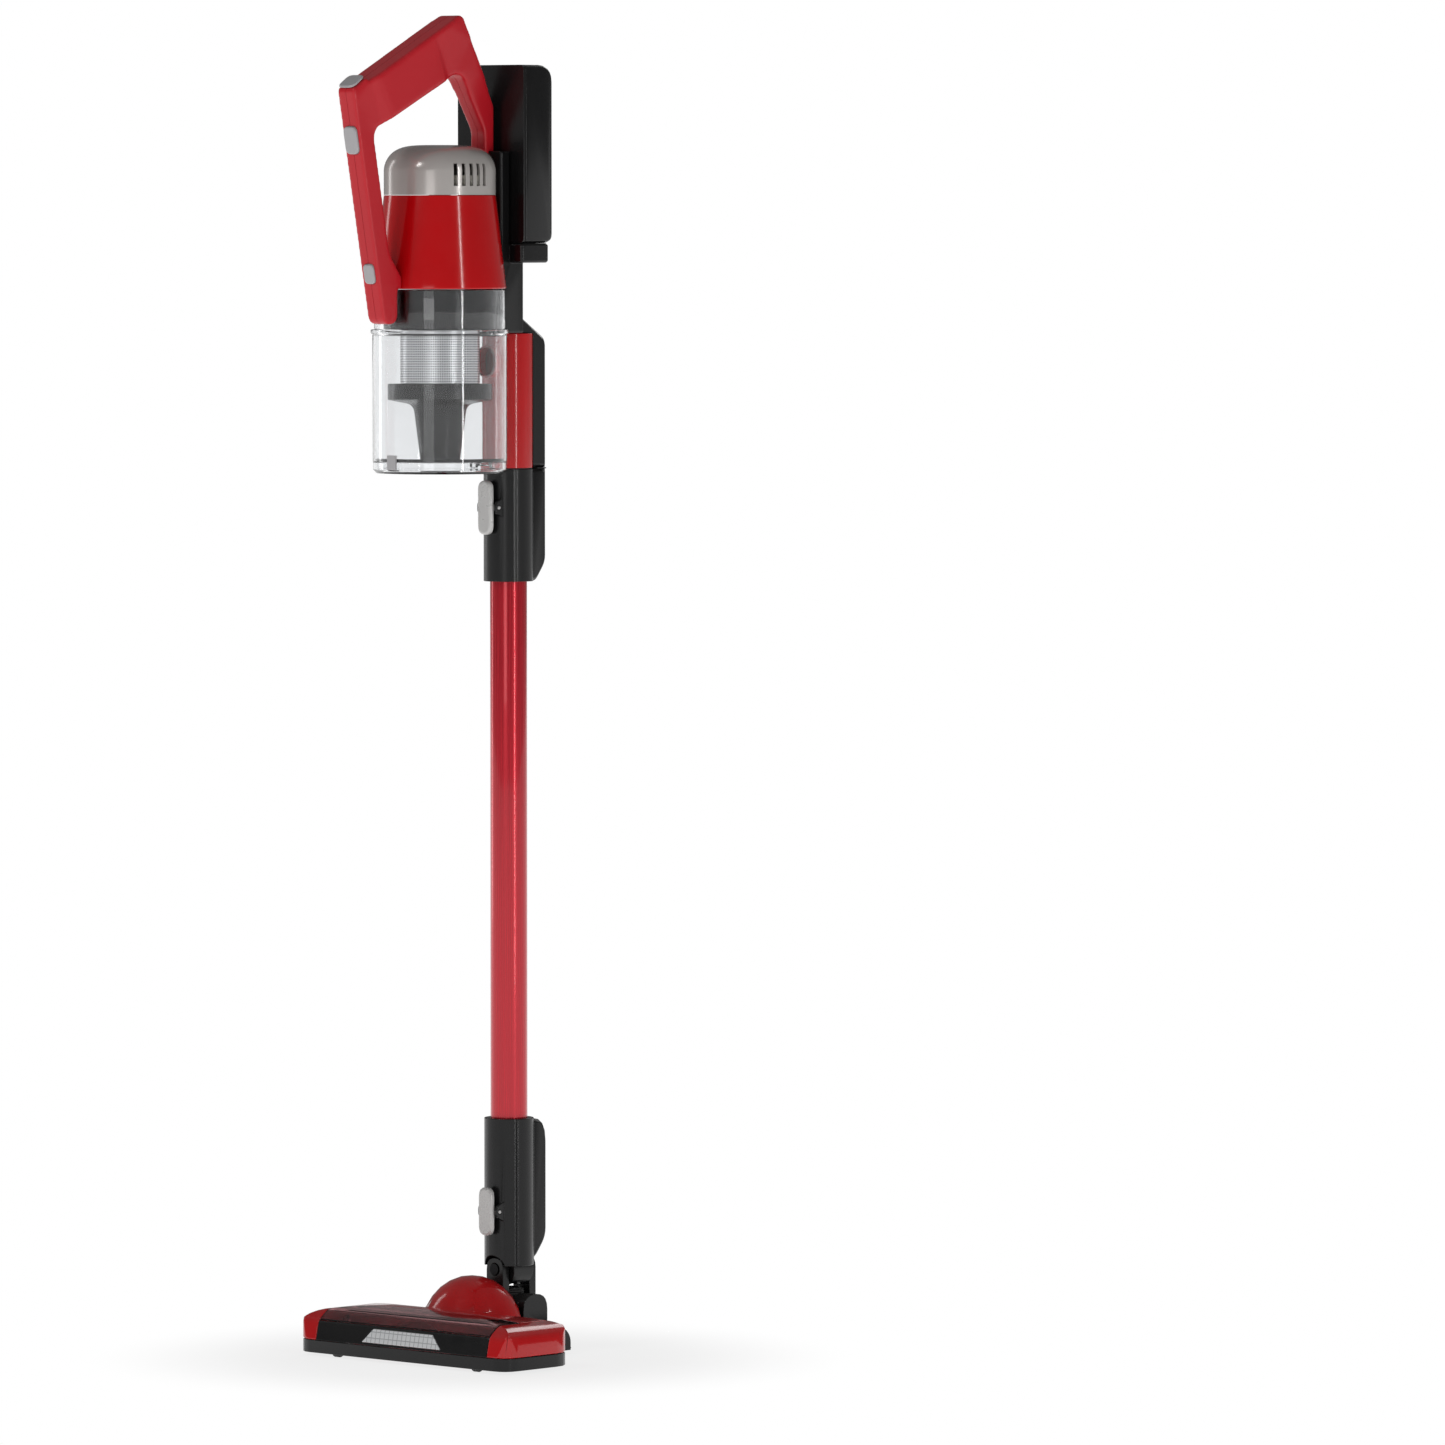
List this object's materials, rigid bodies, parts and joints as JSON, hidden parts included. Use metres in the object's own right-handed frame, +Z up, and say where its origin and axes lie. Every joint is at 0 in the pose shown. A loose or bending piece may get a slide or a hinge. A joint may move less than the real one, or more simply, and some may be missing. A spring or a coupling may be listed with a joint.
{
  "type": "stick vacuum cleaner",
  "caption": "Upright cordless stick vacuum with a motorised floor head, tilting neck, metal wand, clear dust cup, loop handle and clip-on battery pack.",
  "frame": {"origin": "centre of the bounding box, on the floor plane that the head stands on", "axes": "+Z up along the wand, -Y towards the front of the floor head, +X across the head"},
  "size_m": [0.252, 0.232, 1.1572],
  "materials": {
    "red_gloss": "glossy deep red moulded plastic",
    "red_satin": "satin deep red moulded plastic",
    "red_metal": "red lacquered aluminium tube",
    "black_plastic": "black satin moulded plastic",
    "grey_plastic": "cool grey moulded plastic",
    "silver_plastic": "warm silver lacquered plastic",
    "clear_plastic": "clear moulded plastic",
    "smoke_window": "smoke tinted clear plastic",
    "soft_grip": "dark soft-touch rubber",
    "rubber": "black rubber",
    "steel": "brushed steel",
    "motor_metal": "plain cast metal can",
    "motor_steel": "zinc plated steel can",
    "battery_metal": "wrapped round cells",
    "circuit_board": "green circuit board",
    "bristle": "nylon bristles in spiral rows",
    "felt": "dense felt strip",
    "foam": "pale filter foam"
  },
  "bodies": {
    "floor_head": {"head_base": "black_plastic", "head_cover": "red_gloss", "end_cap_left": "red_gloss", "end_cap_right": "red_gloss", "roller_window": "smoke_window", "front_panel": "black_plastic", "headlight_lens": "clear_plastic", "headlight_board": "circuit_board", "suction_duct": "black_plastic", "felt_strip": "felt", "brush_motor": "motor_steel", "roller_bush_left": "grey_plastic", "roller_bush_right": "grey_plastic", "drive_belt": "rubber"},
    "brush": {"brush_roller": "bristle"},
    "belt_wheel": {"motor_pulley": "grey_plastic"},
    "wheel_rear_left": {"rear_wheel_left": "rubber"},
    "wheel_rear_right": {"rear_wheel_right": "rubber"},
    "wheel_front_left": {"front_wheel_left": "rubber"},
    "wheel_front_right": {"front_wheel_right": "rubber"},
    "neck": {"neck_elbow": "black_plastic", "swivel_pin_front": "steel", "swivel_pin_rear": "steel"},
    "lower_socket": {"lower_connector": "black_plastic", "lower_connector_rear": "black_plastic"},
    "lower_button": {"lower_release_button": "grey_plastic"},
    "wand": {"wand_tube": "red_metal", "wand_cable": "rubber", "upper_connector": "black_plastic", "upper_connector_rear": "black_plastic"},
    "upper_button": {"upper_release_button": "grey_plastic"},
    "hand_unit": {"intake_duct": "red_gloss", "duct_cover": "black_plastic", "spine": "black_plastic", "control_board": "circuit_board", "motor_housing": "red_gloss", "dome_cap": "silver_plastic", "suction_motor": "motor_metal", "motor_mount": "rubber", "pre_filter": "foam", "exhaust_filter": "foam", "cyclone_collar": "clear_plastic", "cyclone_head": "black_plastic", "handle_left": "red_satin", "handle_right": "red_satin", "handle_cap": "grey_plastic", "grip_pad": "soft_grip"},
    "fan": {"impeller": "black_plastic"},
    "power_key": {"power_button": "grey_plastic"},
    "cup_key": {"cup_release_button": "grey_plastic"},
    "battery": {"battery_case": "black_plastic", "battery_plate": "black_plastic", "battery_cells": "battery_metal"},
    "battery_key": {"battery_latch": "grey_plastic"},
    "cup": {"dust_cup": "clear_plastic", "cup_seal": "rubber", "mesh_filter": "steel", "cyclone_body": "black_plastic"},
    "lid": {"cup_lid": "clear_plastic"},
    "lid_key": {"lid_latch": "grey_plastic"}
  },
  "joints": [
    {"name": "roller_spin", "type": "hinge", "parent": "floor_head", "child": "brush", "pos_m": [0, -0.01504, 0.02], "axis": [1, 0, 0], "continuous": true},
    {"name": "belt_wheel_spin", "type": "hinge", "parent": "floor_head", "child": "belt_wheel", "pos_m": [-0.0965, 0.02046, 0.024], "axis": [1, 0, 0], "continuous": true},
    {"name": "rear_left_roll", "type": "hinge", "parent": "floor_head", "child": "wheel_rear_left", "pos_m": [-0.0357, 0.10296, 0.009], "axis": [1, 0, 0], "continuous": true},
    {"name": "rear_right_roll", "type": "hinge", "parent": "floor_head", "child": "wheel_rear_right", "pos_m": [0.0357, 0.10296, 0.009], "axis": [1, 0, 0], "continuous": true},
    {"name": "front_left_roll", "type": "hinge", "parent": "floor_head", "child": "wheel_front_left", "pos_m": [-0.084, -0.04264, 0.0055], "axis": [1, 0, 0], "continuous": true},
    {"name": "front_right_roll", "type": "hinge", "parent": "floor_head", "child": "wheel_front_right", "pos_m": [0.084, -0.04264, 0.0055], "axis": [1, 0, 0], "continuous": true},
    {"name": "neck_tilt", "type": "hinge", "parent": "floor_head", "child": "neck", "pos_m": [0, 0.08496, 0.038], "axis": [-1, 0, 0], "range_deg": [0, 85]},
    {"name": "neck_swivel", "type": "hinge", "parent": "neck", "child": "lower_socket", "pos_m": [0, 0.08546, 0.074], "axis": [0, 1, 0], "range_deg": [-45, 45]},
    {"name": "lower_button_press", "type": "hinge", "parent": "lower_socket", "child": "lower_button", "pos_m": [0, 0.05936, 0.125], "axis": [-1, 0, 0], "range_deg": [0, 5], "stiffness_Nm_per_rad": 0.6, "springref_deg": -5.73},
    {"name": "wand_lift_off", "type": "slide", "parent": "lower_socket", "child": "wand", "axis": [0, 0, 1], "range_m": [0, 0.085]},
    {"name": "upper_button_press", "type": "hinge", "parent": "wand", "child": "upper_button", "pos_m": [0, 0.05936, 0.734], "axis": [-1, 0, 0], "range_deg": [0, 5], "stiffness_Nm_per_rad": 0.6, "springref_deg": -5.73},
    {"name": "hand_unit_lift_off", "type": "slide", "parent": "wand", "child": "hand_unit", "axis": [0, 0, 1], "range_m": [0, 0.06]},
    {"name": "fan_spin", "type": "hinge", "parent": "hand_unit", "child": "fan", "pos_m": [0, -0.00104, 0.957], "axis": [0, 0, 1], "continuous": true},
    {"name": "power_press", "type": "slide", "parent": "hand_unit", "child": "power_key", "axis": [0, 0.9831, 0.1829], "range_m": [0, 0.0015], "stiffness_N_per_m": 900, "springref_m": -0.001},
    {"name": "cup_key_press", "type": "slide", "parent": "hand_unit", "child": "cup_key", "axis": [0, 0.9831, 0.1829], "range_m": [0, 0.0015], "stiffness_N_per_m": 900, "springref_m": -0.001},
    {"name": "battery_lift_off", "type": "slide", "parent": "hand_unit", "child": "battery", "axis": [0, 0, 1], "range_m": [0, 0.08]},
    {"name": "battery_key_press", "type": "slide", "parent": "hand_unit", "child": "battery_key", "axis": [0, -1, 0], "range_m": [0, 0.0015], "stiffness_N_per_m": 900, "springref_m": -0.001},
    {"name": "cup_pull_off", "type": "slide", "parent": "hand_unit", "child": "cup", "axis": [0, -1, 0], "range_m": [0, 0.12]},
    {"name": "lid_swing", "type": "hinge", "parent": "cup", "child": "lid", "pos_m": [0, 0.05736, 0.7724], "axis": [1, 0, 0], "range_deg": [0, 38]},
    {"name": "lid_latch_pull", "type": "slide", "parent": "cup", "child": "lid_key", "axis": [0, -1, 0], "range_m": [0, 0.0015], "stiffness_N_per_m": 900, "springref_m": -0.001}
  ],
  "couplings": [
    {"joint": "belt_wheel_spin", "follows": "roller_spin", "ratio": 2}
  ]
}
